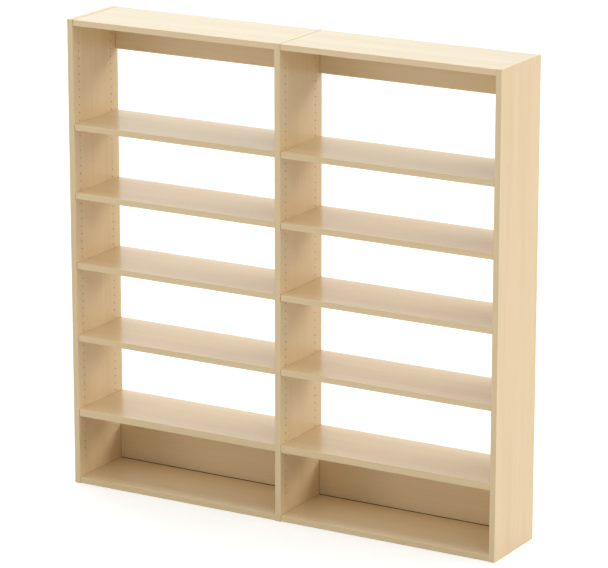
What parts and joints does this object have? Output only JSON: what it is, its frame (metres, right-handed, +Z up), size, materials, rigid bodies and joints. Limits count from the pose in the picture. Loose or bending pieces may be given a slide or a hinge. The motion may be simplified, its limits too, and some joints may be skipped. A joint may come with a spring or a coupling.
{
  "type": "shelving unit",
  "caption": "Tall open shelving unit in side-by-side bays that share an upright, with fixed shelves, loose shelves on plug-in supports, a rear top rail and a low back panel.",
  "frame": {"origin": "on the floor, at the middle of the unit's width and depth, under the middle upright", "axes": "+Z up, -Y towards the front of the unit, +X to its right"},
  "size_m": [1.975, 0.332, 1.975],
  "materials": {
    "upright_laminate": "satin, fine upright grain",
    "board_laminate": "satin, fine grain along the board",
    "edge_band": "satin, wood print",
    "plated_steel": "nickel plated",
    "zinc": "die-cast zinc",
    "beech": "raw beech"
  },
  "bodies": {
    "carcass": {"left_upright": "upright_laminate", "middle_upright": "upright_laminate", "right_upright": "upright_laminate", "left_upright_edging": "edge_band", "middle_upright_edging": "edge_band", "right_upright_edging": "edge_band", "left_bottom_board": "board_laminate", "left_base_shelf": "board_laminate", "left_middle_shelf": "board_laminate", "left_top_board": "board_laminate", "right_bottom_board": "board_laminate", "right_base_shelf": "board_laminate", "right_middle_shelf": "board_laminate", "right_top_board": "board_laminate", "left_bottom_edging": "edge_band", "left_base_edging": "edge_band", "left_middle_edging": "edge_band", "left_top_edging": "edge_band", "right_bottom_edging": "edge_band", "right_base_edging": "edge_band", "right_middle_edging": "edge_band", "right_top_edging": "edge_band", "left_back_panel": "board_laminate", "left_top_rail": "board_laminate", "right_back_panel": "board_laminate", "right_top_rail": "board_laminate", "left_back_edging": "edge_band", "right_back_edging": "edge_band", "left_shelf_supports": "plated_steel", "right_shelf_supports": "plated_steel", "left_dowels": "beech", "right_dowels": "beech", "left_large_cams": "zinc", "right_large_cams": "zinc", "left_small_cams": "zinc", "right_small_cams": "zinc", "left_cam_bolts": "plated_steel", "right_cam_bolts": "plated_steel", "double_cam_bolts": "plated_steel"},
    "left_lower_shelf": {"left_lower_shelf": "board_laminate", "left_lower_edging": "edge_band"},
    "left_upper_shelf": {"left_upper_shelf": "board_laminate", "left_upper_edging": "edge_band"},
    "left_high_shelf": {"left_high_shelf": "board_laminate", "left_high_edging": "edge_band"},
    "right_lower_shelf": {"right_lower_shelf": "board_laminate", "right_lower_edging": "edge_band"},
    "right_upper_shelf": {"right_upper_shelf": "board_laminate", "right_upper_edging": "edge_band"},
    "right_high_shelf": {"right_high_shelf": "board_laminate", "right_high_edging": "edge_band"}
  },
  "joints": [
    {"name": "left_lower_shelf_slide", "type": "slide", "parent": "carcass", "child": "left_lower_shelf", "axis": [0, -1, 0], "range_m": [0, 0.33]},
    {"name": "left_upper_shelf_slide", "type": "slide", "parent": "carcass", "child": "left_upper_shelf", "axis": [0, -1, 0], "range_m": [0, 0.33]},
    {"name": "left_high_shelf_slide", "type": "slide", "parent": "carcass", "child": "left_high_shelf", "axis": [0, -1, 0], "range_m": [0, 0.33]},
    {"name": "right_lower_shelf_slide", "type": "slide", "parent": "carcass", "child": "right_lower_shelf", "axis": [0, -1, 0], "range_m": [0, 0.33]},
    {"name": "right_upper_shelf_slide", "type": "slide", "parent": "carcass", "child": "right_upper_shelf", "axis": [0, -1, 0], "range_m": [0, 0.33]},
    {"name": "right_high_shelf_slide", "type": "slide", "parent": "carcass", "child": "right_high_shelf", "axis": [0, -1, 0], "range_m": [0, 0.33]}
  ]
}
